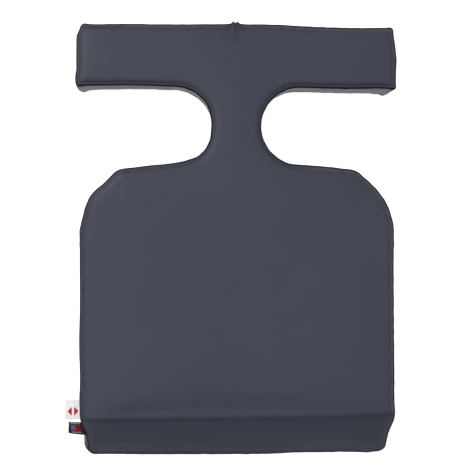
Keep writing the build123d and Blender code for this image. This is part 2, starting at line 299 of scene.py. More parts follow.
# the side walls lean in towards the bottom, most behind the left arm of the head bar
LEAN = 1.6 + 3.4 * along(-150, BAR_Y, 95.0) + 1.2 * along(150, BAR_Y, 95.0) + 1.4 * hollow - 2.6 * along(-51, 213, 40.0)
LEAN = LEAN * TALL * (1 - 0.75 * np.clip(ears(S, 11.0), 0, 1))
for _ in range(4):
    LEAN = (np.roll(LEAN, 4) + LEAN + np.roll(LEAN, -4)) / 3
SEAM_OUT_LOW = SEAM_OUT_LOW - LEAN * (1 - 0.8 * on_zip)
BULGE = (2.2 + 0.7 * edge_wander(S + 700)) * TALL * (1 - 0.75 * hollow) * (1 - on_zip)
STRIP = np.clip(hollow + along(-150, BAR_Y, 95.0) + along(150, BAR_Y, 95.0), 0, 1)
SEAM_OUT_TOP = SEAM_OUT_TOP + 0.7 * (1 - on_zip) * TALL * (1 - STRIP)
LOCAL = 1.2 * TALL * ((np.abs(OUT[:, 0]) > HEAD - 3) & (OUT[:, 1] > BAR_Y)).astype(float)
LOCAL = LOCAL + 2.0 * REAR_LEFT + 0.5 * (1 + edge_wander(S + 700)) * TALL * (1 - hollow) * (1 - on_zip)


def wall_point(i, t):
    """Point on the side wall at outline index i, t from 0 at the top seam to 1 at the bottom seam."""
    s = S[i]
    t = np.asarray(t, float)
    body = np.clip(np.sin(np.pi * np.clip(t, 0, 1)), 0, 1) ** 0.42
    out = SEAM_OUT_TOP[i] * (1 - t) + SEAM_OUT_LOW[i] * t
    gather = 0.30 * (fine_gather(s + 40) * np.exp(-t * WALL_H[i] / 7.0) + fine_gather(s + 170) * np.exp(-(1 - t) * WALL_H[i] / 7.0))
    gather = gather * (0.3 + 1.0 * CURLY[i]) * np.clip(body, 0, 1) * TALL[i]
    inset = VALLEY_IN * (1 - body) - np.interp(t, SIDE_T, SIDE[i]) - out - gather
    # joins between side strips are small upright valleys
    for js in JOINS:
        dj = sdist(s, js)
        inset = inset + 1.1 * bump(dj, 0, 1.6) * body * TALL[i]
    z = Z_SEAM[i] * (1 - t) + Z_LOW[i] * t
    return OUT[i, 0] + INW[i, 0] * inset, OUT[i, 1] + INW[i, 1] * inset, z


JOIN_FRONT = at(-FLANK, ZIP_Y1)
JOIN_REAR = at(-FLANK, ZIP_Y0)
I_HEAD = (N + int(round(HEAD_JOIN / DS))) % N
JOINS = [JOIN_FRONT, JOIN_REAR, S[I_HEAD]]

# ------------------------------------------------------------------ panels
PHI = np.radians([0, 12, 24, 38, 52, 66, 80, 94, 108, 122, 136, 150])
ring_xy = OUT + INW * (RING_IN + 0.4)


def plan_field():
    """Triangles over the plan inside the innermost ring, and the input point each vertex comes from."""
    step = 3.6
    xs, ys = [], []
    row = 0
    y = REAR + 5
    while y < FRONT:
        off = 0.5 * step if row % 2 else 0.0
        x = np.arange(-HEAD + off, HEAD, step)
        xs.append(x)
        ys.append(np.full(len(x), y))
        y += step * math.sqrt(3) / 2
        row += 1
    g = np.stack([np.concatenate(xs), np.concatenate(ys)], 1)
    # inside test and nearest distance
    dist = np.full(len(g), 1e9)
    near = np.zeros(len(g), int)
    for a in range(0, len(g), 2000):
        d2 = ((g[a : a + 2000, None, :] - OUT[None, ::1, :]) ** 2).sum(2)
        near[a : a + 2000] = d2.argmin(1)
        dist[a : a + 2000] = np.sqrt(d2.min(1))
    side = ((g - OUT[near]) * INW[near]).sum(1)
    keep = (side > 0) & (dist > 13.2 + 1.6)
    g = g[keep]
    rings = []
    for inset, every in ((5.2, 1), (7.0, 1), (9.2, 2), (11.2, 2), (13.2, 2)):
        q = (OUT + INW * inset)[::every]
        gap = np.array([np.sqrt(((OUT - p) ** 2).sum(1).min()) for p in q])
        rings.append(q[gap > inset - 0.12])
    pts = np.concatenate([ring_xy] + rings + [g])
    loop = list(range(N))[::-1]
    co, _, faces, orig, _, _ = delaunay_2d_cdt([Vector(p) for p in pts], [], [loop], 1, 1e-5)
    co = np.array([tuple(c) for c in co])
    source = np.array([o[0] if len(o) else -1 for o in orig])
    return co, [tuple(f) for f in faces], source


co, tris, source = plan_field()
dist = np.empty(len(co))
place = np.empty(len(co))
for a in range(0, len(co), 2000):
    d2 = ((co[a : a + 2000, None, :] - OUT[None, :, :]) ** 2).sum(2)
    j = d2.argmin(1)
    dist[a : a + 2000] = np.sqrt(d2.min(1))
    place[a : a + 2000] = S[j]
ring_of = {int(src): k for k, src in enumerate(source) if 0 <= src < N}
ring_index = np.array([ring_of[i] for i in range(N)])


def lean(v):
    """The sewn shape isn't quite true: ends, corners and edges wander a little in plan."""
    v = np.array(v, float)
    x, y, z = v[:, 0], v[:, 1], v[:, 2]
    h = 0.4 + 0.6 * np.clip(z / TOP, 0, 1)
    lin = lambda t, a, b: np.clip((t - a) / (b - a), 0, 1)
    left, rgt = smooth(-x, 130, 222), smooth(x, 130, 222)
    dx = 8.0 * lin(y, 301, 318) * left * h - 1.9 * bump(y, 240, 11) * left
    dx = dx - 6.4 * lin(y, 276, 318) * rgt * h
    dx = dx + 1.5 * bump(y, -190, 75) * rgt + 2.4 * bump(y, -251, 17) * rgt * smooth(x, 205, 224)
    dx = dx - 1.7 * bump(np.hypot(x + HEAD, y - BAR_Y), 0, 13) * (1 - smooth(z, 8, 50))
    dx = dx + 2.2 * smooth(-y, 275, 300) * smooth(x, 180, 215)
    right_ear = bump(np.hypot(x - HEAD, y - BAR_Y), 0, 17)
    dx = dx - 3.6 * right_ear * (1 - smooth(z, 34, 60))
    # shoulders: a knee on each side, then a slight waist
    knee_l, knee_r = bump(np.hypot(x + 206, y - 74), 0, 15), bump(np.hypot(x - 191, y - 89), 0, 16)
    dx = dx - 1.8 * knee_l + 1.6 * knee_r
    dx = dx + 1.5 * bump(y, 42, 15) * left - 1.3 * bump(y, 45, 22) * rgt
    # flanks
    dx = dx - (1.6 * bump(y, -135, 42) + 1.7 * bump(y, -222, 24)) * left
    flank = smooth(-y, -100, -60) * smooth(y, -300, -262)
    dx = dx + 1.6 * flank * smooth(x, 130, 222) - 1.3 * flank * smooth(-x, 130, 222) * smooth(z, 44, 60)
    neck = bump(y, 172, 30)
    dx = dx - 3.6 * neck * smooth(-x, 8, 35) * (1 - smooth(-x, 60, 105))
    dx = dx - 0.7 * neck * smooth(x, 8, 35) * (1 - smooth(x, 60, 105))
    bar = smooth(y, 232, 300)
    dy = (1.0 * bump(x, 8, 95) - 1.0 * smooth(x, 50, 150) - 0.4 * smooth(-x, 60, 150)) * bar
    dy = dy - 0.9 * bump(x, -62, 34) * bar - 1.9 * smooth(x, 35, 110) * smooth(y, 195, 226)
    dy = dy + (2.0 * bump(x, -105, 42) + 1.0 * bump(x, 105, 42)) * bump(y, 116, 26)
    dy = dy + 1.7 * bump(x, -66, 22) * bump(y, 128, 22) + 2.2 * bump(x, -78, 17) * bump(y, 125, 20) + 0.9 * knee_l + 0.7 * knee_r
    dy = dy - 1.4 * right_ear * smooth(z, 40, 60)
    rear = smooth(-y, 285, 318)
    dy = dy + (1.3 + 1.0 * smooth(-x, 20, 80) + 1.0 * smooth(-x, 100, 190) + 1.6 * smooth(x, 50, 110)) * rear
    dy = dy + (0.8 * bump(x, 152, 26) - 1.3 * bump(x, 197, 11)) * rear
    v[:, 0] += dx
    v[:, 1] += dy
    return v


def shade_seams(o, dark, light):
    """Store on each point how much painted shade it gets at the fold of a seam, and how much painted highlight on the
    crest beside it.
    """
    for label, values in (("seam_painted_shade", dark), ("seam_painted_highlight", light)):
        a = o.data.attributes.new(label, "FLOAT", "POINT")
        a.data.foreach_set("value", np.clip(np.asarray(values, np.float32), 0, 1))
    return o


def new_object(name, verts, faces, smooth_shade=True):
    me = bpy.data.meshes.new(name)
    me.from_pydata([tuple(v) for v in np.asarray(verts, float) * MM], [], [tuple(int(i) for i in f) for f in faces])
    me.validate()
    me.update()
    if smooth_shade:
        me.polygons.foreach_set("use_smooth", [True] * len(me.polygons))
    o = bpy.data.objects.new(name, me)
    bpy.context.scene.collection.objects.link(o)
    return o


def thicken(o, mm, offset=-1.0):
    m = o.modifiers.new("sheet", "SOLIDIFY")
    m.thickness = mm * MM
    m.offset = offset
    m.use_rim = True
    return o


def closed_form(z_low, z_high, inset):
    """Closed shell over the plan field between two heights, its sides following the leaning walls."""
    xy = co.copy()
    xy[ring_index] = OUT + INW * inset
    zt = z_high(xy[:, 0], xy[:, 1])
    zb = np.minimum(z_low(xy[:, 0], xy[:, 1]), zt)
    n = len(xy)
    keep = zt > zb + 0.4
    pull = np.interp(place, S, LEAN, period=LOOP) * np.exp(-np.maximum(dist - 5, 0) / 14.0)
    inw = np.stack([np.interp(place, S, INW[:, 0], period=LOOP), np.interp(place, S, INW[:, 1], period=LOOP)], 1)
    pinch = np.interp(place, S, 3.4 * REAR_LEFT, period=LOOP) * np.exp(-np.maximum(dist - 5, 0) / 8.0)
    low_xy = xy + inw * (pull * (1 - zb / TOP) + pinch)[:, None]
    top_xy = xy + inw * (pull * (1 - zt / TOP) + pinch)[:, None]
    verts = np.concatenate([np.column_stack([top_xy, zt]), np.column_stack([low_xy, zb])])
    faces = []
    used = set()
    for f in tris:
        if all(keep[i] for i in f):
            faces.append(f)
            faces.append(tuple(i + n for i in f[::-1]))
            for a, b in zip(f, f[1:] + f[:1]):
                if (b, a) in used:
                    used.discard((b, a))
                else:
                    used.add((a, b))
    for a, b in sorted(used):
        faces.append((b, a, a + n, b + n))
    flat = np.unique(np.concatenate([np.array(f) for f in faces]))
    remap = -np.ones(len(verts), int)
    remap[flat] = np.arange(len(flat))
    return verts[flat], [tuple(remap[list(f)]) for f in faces]


def rounded_edge(less):
    e = np.interp(place, S, EDGE_DROP, period=LOOP) * np.exp(-np.maximum(dist - RING_IN, 0) / 5.5)
    return lambda x, y: panel_base(x, y) - less - e


# ------------------------------------------------------------------ cloth: the cover swells between its seams
VOXEL, CAP_TOP, CAP_WALL = 6.0, 2.6, 4.0


def evaluated(o):
    dg = bpy.context.evaluated_depsgraph_get()
    me = bpy.data.meshes.new_from_object(o.evaluated_get(dg))
    v = np.empty(len(me.vertices) * 3)
    me.vertices.foreach_get("co", v)
    return me, v.reshape(-1, 3) / MM


def simulate():
    """Coarse closed cover, pinned at its two seams and flat underneath, blown up by cloth pressure against its own
    stiffness. Returns the start points, how far each moved and which outline point each is nearest."""
    v, f = closed_form(lambda x, y: np.full(len(x), 1.0), rounded_edge(1.6), 1.4)
    form = new_object("cover_form", v, f)
    m = form.modifiers.new("remesh", "REMESH")
    m.mode = "VOXEL"
    m.voxel_size = VOXEL * MM
    bpy.context.view_layer.update()
    me, start = evaluated(form)
    bpy.data.objects.remove(form)
    cloth = bpy.data.objects.new("cover_cloth", me)
    bpy.context.scene.collection.objects.link(cloth)
    near = np.empty(len(start), int)
    gap = np.empty(len(start))
    for a in range(0, len(start), 2000):
        d2 = ((start[a : a + 2000, None, :2] - OUT[None, :, :]) ** 2).sum(2)
        near[a : a + 2000] = d2.argmin(1)
        gap[a : a + 2000] = np.sqrt(d2.min(1))
    seam = (gap < 8.5) & ((np.abs(start[:, 2] - Z_SEAM[near]) < 4.5) | (start[:, 2] < 7.0))
    held = seam | (start[:, 2] < 2.6)
    group = cloth.vertex_groups.new(name="held")
    group.add([int(i) for i in np.where(held)[0]], 1.0, "REPLACE")
    c = cloth.modifiers.new("cloth", "CLOTH")
    c.settings.quality = 6
    c.settings.mass = 0.25
    c.settings.tension_stiffness = 25.0
    c.settings.compression_stiffness = 25.0
    c.settings.shear_stiffness = 8.0
    c.settings.bending_stiffness = 2.5
    c.settings.air_damping = 2.0
    c.settings.use_pressure = True
    c.settings.uniform_pressure_force = 4.0
    c.settings.vertex_group_mass = "held"
    c.settings.effector_weights.gravity = 0.0
    c.collision_settings.use_collision = False
    c.point_cache.frame_start, c.point_cache.frame_end = 1, 20
    for k in range(1, 21):
        bpy.context.scene.frame_set(k)
    moved_me, moved = evaluated(cloth)
    bpy.context.scene.frame_set(1)
    bpy.data.objects.remove(cloth)
    bpy.data.meshes.remove(moved_me)
    return start, moved - start, near, gap


def gaussian_lookup(points, values, at_points, radius):
    """Smooth average of scattered values round each place."""
    from mathutils.kdtree import KDTree

    tree = KDTree(len(points))
    for i, p in enumerate(points):
        tree.insert(p, i)
    tree.balance()
    out = np.zeros(len(at_points))
    for k, p in enumerate(at_points):
        w = a = 0.0
        for _, i, d in tree.find_n(p, 14):
            g = math.exp(-((d / radius) ** 2)) + 1e-6
            w += g
            a += g * values[i]
        out[k] = a / w
    return out


CROWN = 1.5 * (1 - np.exp(-dist / 26.0))
SIDE_T = np.linspace(0, 1, 12)
BELLY = (np.clip(np.sin(np.pi * SIDE_T), 0, 1) ** 0.42)[None, :]
SIDE = (BULGE + LOCAL)[:, None] * BELLY
start, moved, near, gap = simulate()
up_side = (start[:, 2] > panel_base(start[:, 0], start[:, 1]) - 9.0) & (start[:, 2] > 4.0)
pts = np.column_stack([start[up_side, :2], np.zeros(up_side.sum())])
rise = CAP_TOP * np.tanh(np.clip(moved[up_side, 2], 0, None) / CAP_TOP)
CROWN = gaussian_lookup(pts, rise, np.column_stack([co, np.zeros(len(co))]), 9.0)
CROWN = CROWN * (1 - 0.5 * smooth(CREASE + 14 - co[:, 1], 0, 22))
flat_side = gap < 5.0
outward = -(moved[:, :2] * INW[near]).sum(1)
outward = CAP_WALL * np.tanh(np.clip(outward, 0, None) / CAP_WALL)
pts = np.column_stack([S[near[flat_side]], start[flat_side, 2], np.zeros(flat_side.sum())])
pts = np.concatenate([pts, pts + [LOOP, 0, 0], pts - [LOOP, 0, 0]])
vals = np.tile(outward[flat_side], 3)
want = np.array([(S[i], Z_SEAM[i] * (1 - t) + Z_LOW[i] * t, 0.0) for i in range(0, N, 2) for t in SIDE_T])
got = gaussian_lookup(pts, vals, want, 5.0).reshape(-1, len(SIDE_T))
full = np.empty((N, len(SIDE_T)))
full[0::2] = got
full[1::2] = 0.5 * (got + np.roll(got, -1, 0))
SIDE = 1.6 * full * TALL[:, None] * (1 - on_zip)[:, None] + LOCAL[:, None] * BELLY


SIDE = SIDE * (STRIP[:, None] + (1 - STRIP[:, None]) * (0.25 + 0.75 * smooth(SIDE_T, 0.0, 0.4))[None, :])

# how strongly the fold is painted in shade as a dark line, and its crest with a painted highlight as a light one, round
# the outline
right_run = (OUT[:, 0] > 30).astype(float)
rear_run = (OUT[:, 1] < REAR + 3).astype(float)
for _ in range(8):
    right_run = (np.roll(right_run, 8) + right_run + np.roll(right_run, -8)) / 3
    rear_run = (np.roll(rear_run, 5) + rear_run + np.roll(rear_run, -5)) / 3
SEAM_PAINTED_SHADE = np.clip(0.88 + 0.12 * right_run - 0.45 * rear_run + 0.12 * edge_wander(S + 410), 0, 1)
SEAM_PAINTED_HIGHLIGHT = np.clip(0.22 + 0.62 * right_run * (1 - 0.5 * rear_run) + 0.55 * along(-100, FRONT, 75.0) + 0.22 * mid_gather(S + 50), 0.05, 1)


def panel(name, upper):
    seam_out = SEAM_OUT_TOP if upper else SEAM_OUT_LOW
    z_seam = Z_SEAM if upper else Z_LOW
    # plan-field vertices
    xy = co.copy()
    so = np.interp(place, S, seam_out, period=LOOP)
    inw = np.stack([np.interp(place, S, INW[:, 0], period=LOOP), np.interp(place, S, INW[:, 1], period=LOOP)], 1)
    xy -= inw * (so * np.exp(-np.maximum(dist - RING_IN, 0) / 7.0))[:, None]
    if upper:
        z = top_surface(co[:, 0], co[:, 1], dist, place, CROWN)
    else:
        z = 0.05 + 0.2 * (1 - np.exp(-dist / 20.0)) * (0.5 + 0.5 * low_swell(co[:, 0], co[:, 1]))
    verts = [np.column_stack([xy, z])]
    faces = [f if upper else f[::-1] for f in tris]
    # rolled edge, from the plan field out and round into the seam
    count = len(co)
    prev = ring_index
    z_in = z[ring_index]
    # painted shade in the valley just inside the rolled seam, and on the top panel round the pinch at the head bar's
    # join; painted highlight just inside the crest
    dark = [0.25 * bump(dist, 5.0, 2.0)]
    if upper:
        r, a = np.hypot(co[:, 0] - HEAD_JOIN, (co[:, 1] - FRONT + 1) * 0.8), np.arctan2(co[:, 0] - HEAD_JOIN, FRONT + 2 - co[:, 1])
        dark = [dark[0] + np.exp(-((r / 12.0) ** 2)) * (0.20 + 0.30 * np.cos(a * 7))]
    light = [0.9 * np.interp(place, S, SEAM_PAINTED_HIGHLIGHT * (1 - STRIP), period=LOOP) * bump(dist, 4.6, 1.2)]
    rows = []
    for phi in PHI:
        inset = RING_IN - ROLL_R * math.sin(phi)
        g = (1 - math.cos(phi)) / (1 - math.cos(PHI[-1]))
        x = OUT + INW * (inset - seam_out)[:, None]
        zz = z_in * (1 - g) + z_seam * g
        if upper:
            # raised crest, with a soft flutter of the lip
            zz = zz + 0.55 * max(math.sin(2 * phi), 0.0) * (0.35 + 0.65 * TALL)
            zz = zz + 0.14 * fine_gather(S + 11) * math.sin(phi) * (0.25 + CURLY)
        rows.append(np.column_stack([x, zz]))
        deg = math.degrees(phi)
        # painted shade over the outer part of the roll, painted highlight along its crest
        start = np.clip(14 - 6 * right_run - 12 * STRIP, 2, 60)
        dark.append(SEAM_PAINTED_SHADE * (1 - 0.12 * STRIP * (deg < 75)) * smooth(deg, start, start + 24))
        light.append(SEAM_PAINTED_HIGHLIGHT * (1 - STRIP) * bump(deg, -2, 9))
    # allowance turned inside, fully in painted shade
    x = OUT + INW * (VALLEY_IN + 1.7 - seam_out)[:, None]
    rows.append(np.column_stack([x, z_seam + (0.25 if upper else -0.25)]))
    dark.append(np.ones(N))
    light.append(np.zeros(N))
    rows = rows[1:]
    dark, light = np.concatenate([dark[0]] + dark[2:]), np.concatenate([light[0]] + light[2:])
    for r in rows:
        verts.append(r)
        cur = count + np.arange(N)
        count += N
        nxt = np.roll(np.arange(N), -1)
        q = np.stack([cur, prev, prev[nxt], cur[nxt]], 1)
        if not upper:
            q = q[:, ::-1]
        faces.extend([tuple(f) for f in q])
        prev = cur
    return shade_seams(new_object(name, lean(np.concatenate(verts)), faces), dark, light)


def wall(name, idx, t0=0.0, t1=1.0, rows=26, fold0=False, fold1=False, z0=None, z1=None):
    """Side strip over outline indices idx. z0 or z1 fix the height of an edge that is folded beside the zip."""
    idx = np.asarray(idx)
    u = np.linspace(0, 1, rows)
    u = 0.5 - 0.5 * np.cos(np.pi * u) if (t0, t1) == (0.0, 1.0) and z0 is None and z1 is None else u
    grid = []
    dark, light = [], []
    for i in idx:
        ta, tb = t0, t1
        if z0 is not None:
            ta = (Z_SEAM[i] - z0) / (Z_SEAM[i] - Z_LOW[i])
        if z1 is not None:
            tb = (Z_SEAM[i] - z1) / (Z_SEAM[i] - Z_LOW[i])
        if z0 is None and z1 is None:
            uu = u
        elif z1 is not None:
            uu = 1 - np.cos(0.5 * np.pi * u)
        else:
            uu = np.sin(0.5 * np.pi * u)
        t = ta + (tb - ta) * uu
        x, y, z = wall_point(i, t)
        col = np.column_stack([x, y, z])
        inw = np.array([INW[i, 0], INW[i, 1], 0])
        from_top, from_low = t * WALL_H[i], (1 - t) * WALL_H[i]
        # painted shade in a band under the top seam and along the bottom seam, and a painted highlight line just under
        # the top seam on the strips and at the rear left corner
        band = 7.0 - 5.5 * max(STRIP[i], REAR_LEFT[i])
        shade = np.maximum(SEAM_PAINTED_SHADE[i] * np.exp(-((from_top / band) ** 2)), 0.8 * np.exp(-((from_low / 1.3) ** 2)))
        crest = np.maximum(np.maximum(0.95 * bump(from_top, 3.2, 1.4), 0.20 * smooth(from_top, 1.2, 4.0)) * TALL[i] * STRIP[i], 1.0 * REAR_LEFT[i] * smooth(from_top, 0.3, 2.0))
        # painted shade over the turned-in allowances, lighter on the folds beside the zip
        head, tail = (1 if z0 is None else 4), (1 if z1 is None else 4)
        dark.append(np.concatenate([np.full(head, 1.0 if z0 is None else 0.2), shade, np.full(tail, 1.0 if z1 is None else 0.2)]))
        light.append(np.concatenate([np.zeros(head), crest, np.zeros(tail)]))
        if z0 is None:
            first = col[0] + inw * 1.7 + np.array([0, 0, -0.25])
            col = np.vstack([first, col])
        else:
            p = col[0]
            fold = [p + inw * 2.2 + np.array([0, 0, -2.5]), p + inw * 2.2 + np.array([0, 0, -0.2]), p + inw * 1.6 + np.array([0, 0, 0.55]), p + inw * 0.7 + np.array([0, 0, 0.6])]
            col = np.vstack([fold, col])
        if z1 is None:
            last = col[-1] + inw * 1.7 + np.array([0, 0, 0.25])
            col = np.vstack([col, last])
        else:
            p = col[-1]
            fold = [p + inw * 0.7 + np.array([0, 0, -0.6]), p + inw * 1.6 + np.array([0, 0, -0.55]), p + inw * 2.2 + np.array([0, 0, 0.2]), p + inw * 2.2 + np.array([0, 0, 2.5])]
            col = np.vstack([col, fold])
        grid.append(col)
    m = len(grid[0])
    verts = np.concatenate(grid)
    a = np.arange(len(idx) - 1)[:, None] * m + np.arange(m - 1)[None, :]
    q = np.stack([a, a + m, a + m + 1, a + 1], -1).reshape(-1, 4)
    return shade_seams(new_object(name, lean(verts), q), np.concatenate(dark), np.concatenate(light))


# ------------------------------------------------------------------ materials
def material(name):
    m = bpy.data.materials.new(name)
    m.use_nodes = True
    nt = m.node_tree
    nt.nodes.clear()
    out = nt.nodes.new("ShaderNodeOutputMaterial")
    bsdf = nt.nodes.new("ShaderNodeBsdfPrincipled")
    nt.links.new(bsdf.outputs[0], out.inputs[0])
    tc = nt.nodes.new("ShaderNodeTexCoord")
    return m, nt, bsdf, tc.outputs["Object"]


def node(nt, kind, inputs=None, **props):
    n = nt.nodes.new(kind)
    for k, v in props.items():
        setattr(n, k, v)
    for k, v in (inputs or {}).items():
        if isinstance(v, bpy.types.NodeSocket):
            nt.links.new(v, n.inputs[k])
        else:
            n.inputs[k].default_value = v
    return n


def noise(nt, co_, scale, detail=3.0, rough=0.55):
    return node(nt, "ShaderNodeTexNoise", {"Vector": co_, "Scale": scale, "Detail": detail, "Roughness": rough}).outputs["Fac"]


def ramp(nt, fac, lo, hi, a=0.0, b=1.0):
    return node(nt, "ShaderNodeMapRange", {"Value": fac, "From Min": lo, "From Max": hi, "To Min": a, "To Max": b}).outputs[0]


def math_(nt, op, a, b=0.0, c=0.0):
    n = nt.nodes.new("ShaderNodeMath")
    n.operation = op
    for k, v in enumerate((a, b, c)):
        if isinstance(v, bpy.types.NodeSocket):
            nt.links.new(v, n.inputs[k])
        else:
            n.inputs[k].default_value = v
    return n.outputs[0]


def mix(nt, fac, a, b):
    n = nt.nodes.new("ShaderNodeMix")
    n.data_type = "RGBA"
    for k, v in ((0, fac), (6, a), (7, b)):
        if isinstance(v, bpy.types.NodeSocket):
            nt.links.new(v, n.inputs[k])
        else:
            n.inputs[k].default_value = v
    return n.outputs[2]


def bump_node(nt, height, strength, distance, normal=None):
    ins = {"Height": height, "Strength": strength, "Distance": distance}
    if normal is not None:
        ins["Normal"] = normal
    return node(nt, "ShaderNodeBump", ins).outputs[0]


def vinyl():
    m, nt, b, oc = material("cover_vinyl_satin")
    grain_co = node(nt, "ShaderNodeMapping", {"Vector": oc, "Scale": (1.0, 1.0, 1.0)}).outputs[0]
    cells = node(nt, "ShaderNodeTexVoronoi", {"Vector": grain_co, "Scale": 1150.0, "Smoothness": 0.35}, feature="SMOOTH_F1").outputs["Distance"]
    pores = noise(nt, grain_co, 2600.0, 2.0)
    broad = noise(nt, oc, 9.0, 3.0)
    cloud = noise(nt, oc, 38.0, 4.0)
    geo = nt.nodes.new("ShaderNodeNewGeometry")
    edge = ramp(nt, geo.outputs["Pointiness"], 0.5, 0.56)
    base = mix(nt, ramp(nt, broad, 0.35, 0.65), (0.0480, 0.0525, 0.0835, 1), (0.0525, 0.0570, 0.0885, 1))
    base = mix(nt, ramp(nt, cells, 0.1, 0.75, 0.0, 0.16), base, (0.020, 0.021, 0.032, 1))
    base = mix(nt, math_(nt, "MULTIPLY", edge, 0.20), base, (0.085, 0.088, 0.110, 1))
    # painted shade along the seam folds and a painted highlight along their crests, both read from the mesh; where the
    # painted shade lies the vinyl also loses its shine
    fold = node(nt, "ShaderNodeAttribute", attribute_name="seam_painted_shade").outputs["Fac"]
    crest = node(nt, "ShaderNodeAttribute", attribute_name="seam_painted_highlight").outputs["Fac"]
    base = mix(nt, math_(nt, "MULTIPLY", fold, 0.96), base, (0.006, 0.007, 0.009, 1))
    base = mix(nt, math_(nt, "MULTIPLY", crest, 0.42), base, (0.190, 0.195, 0.215, 1))
    nt.links.new(base, b.inputs["Base Color"])
    r = math_(nt, "ADD", ramp(nt, cloud, 0.3, 0.7, 0.36, 0.44), ramp(nt, pores, 0.3, 0.7, -0.03, 0.03))
    r = math_(nt, "ADD", r, math_(nt, "MULTIPLY", edge, -0.05))
    nt.links.new(r, b.inputs["Roughness"])
    nt.links.new(ramp(nt, fold, 0.0, 0.75, 0.20, 0.0), b.inputs["Specular IOR Level"])
    nt.links.new(ramp(nt, fold, 0.0, 0.75, 0.22, 0.0), b.inputs["Coat Weight"])
    b.inputs["Coat Roughness"].default_value = 0.32
    n1 = bump_node(nt, cells, 0.30, 0.00012)
    n2 = bump_node(nt, pores, 0.20, 0.00005, n1)
    n3 = bump_node(nt, noise(nt, oc, 90.0, 3.0), 0.25, 0.0003, n2)
    nt.links.new(n3, b.inputs["Normal"])
    return m


def cloth(name, col_a, col_b, scale=900.0, rough=0.8, sheen=0.2):
    m, nt, b, oc = material(name)
    sep = node(nt, "ShaderNodeSeparateXYZ", {"Vector": oc})
    wy = math_(nt, "SINE", math_(nt, "MULTIPLY", sep.outputs[1], scale * 6.2832))
    wz = math_(nt, "SINE", math_(nt, "MULTIPLY", math_(nt, "ADD", sep.outputs[2], sep.outputs[0]), scale * 6.2832))
    weave = math_(nt, "MULTIPLY", wy, wz)
    f = ramp(nt, weave, -1.0, 1.0)
    c = mix(nt, f, col_a, col_b)
    c = mix(nt, ramp(nt, noise(nt, oc, 400.0), 0.3, 0.7, 0.0, 0.3), c, col_a)
    nt.links.new(c, b.inputs["Base Color"])
    nt.links.new(ramp(nt, noise(nt, oc, 900.0), 0.3, 0.7, rough - 0.08, rough + 0.06), b.inputs["Roughness"])
    b.inputs["Sheen Weight"].default_value = sheen
    nt.links.new(bump_node(nt, weave, 0.5, 0.00015), b.inputs["Normal"])
    return m


def foam(name, col_a, col_b):
    m, nt, b, oc = material(name)
    cells = node(nt, "ShaderNodeTexVoronoi", {"Vector": oc, "Scale": 900.0}).outputs["Distance"]
    big = node(nt, "ShaderNodeTexVoronoi", {"Vector": oc, "Scale": 350.0}).outputs["Distance"]
    c = mix(nt, ramp(nt, cells, 0.1, 0.6), col_a, col_b)
    c = mix(nt, ramp(nt, noise(nt, oc, 12.0), 0.3, 0.7, 0.0, 0.35), c, col_a)
    nt.links.new(c, b.inputs["Base Color"])
    nt.links.new(ramp(nt, big, 0.0, 0.7, 0.98, 0.82), b.inputs["Roughness"])
    nt.links.new(bump_node(nt, big, 0.8, 0.0008, bump_node(nt, cells, 0.7, 0.0004)), b.inputs["Normal"])
    return m


def metal(name, col):
    m, nt, b, oc = material(name)
    c = mix(nt, ramp(nt, noise(nt, oc, 300.0), 0.35, 0.65), (col[0] * 0.8, col[1] * 0.8, col[2] * 0.8, 1), (*col, 1))
    geo = nt.nodes.new("ShaderNodeNewGeometry")
    worn = ramp(nt, geo.outputs["Pointiness"], 0.51, 0.6)
    c = mix(nt, math_(nt, "MULTIPLY", worn, 0.7), c, (0.36, 0.35, 0.34, 1))
    nt.links.new(c, b.inputs["Base Color"])
    b.inputs["Metallic"].default_value = 0.75
    nt.links.new(ramp(nt, noise(nt, oc, 1200.0), 0.3, 0.7, 0.26, 0.42), b.inputs["Roughness"])
    nt.links.new(bump_node(nt, noise(nt, oc, 1500.0), 0.15, 0.00004), b.inputs["Normal"])
    return m


def thread_mat():
    m, nt, b, oc = material("stitch_thread")
    sep = node(nt, "ShaderNodeSeparateXYZ", {"Vector": oc})
    tw = math_(nt, "SINE", math_(nt, "MULTIPLY", math_(nt, "ADD", sep.outputs[1], math_(nt, "MULTIPLY", sep.outputs[2], 1.5)), 9000.0))
    c = mix(nt, ramp(nt, tw, -1, 1), (0.030, 0.032, 0.045, 1), (0.085, 0.088, 0.112, 1))
    nt.links.new(c, b.inputs["Base Color"])
    nt.links.new(ramp(nt, noise(nt, oc, 2000.0), 0.3, 0.7, 0.45, 0.6), b.inputs["Roughness"])
    nt.links.new(bump_node(nt, tw, 0.6, 0.00010), b.inputs["Normal"])
    return m


VINYL = vinyl()
TAPE = cloth("zip_tape_weave", (0.018, 0.019, 0.026, 1), (0.040, 0.042, 0.054, 1), 1100.0, 0.85, 0.1)
COIL = metal("zip_coil_nylon", (0.045, 0.047, 0.060))
COIL.node_tree.nodes["Principled BSDF"].inputs["Metallic"].default_value = 0.0
METAL = metal("zip_slider_enamel", (0.060, 0.062, 0.072))
THREAD = thread_mat()
FOAM_A = foam("firm_foam_cells", (0.42, 0.50, 0.34, 1), (0.60, 0.68, 0.50, 1))
FOAM_B = foam("soft_foam_cells", (0.72, 0.68, 0.52, 1), (0.88, 0.85, 0.74, 1))


def dress(o, mat, body, slot, *cad):
    o.data.materials.clear()
    o.data.materials.append(mat)
    if body and o.name not in nodes:
        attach(o, body)
    if cad:
        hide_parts(*cad)
    return o


# ------------------------------------------------------------------ cover pieces
top = thicken(panel("cover_top_panel", True), 1.0)
dress(top, VINYL, "pad", "cover_vinyl", "top_panel")
under = thicken(panel("cover_bottom_panel", False), 1.0)
dress(under, VINYL, "pad", "cover_vinyl", "bottom_panel")

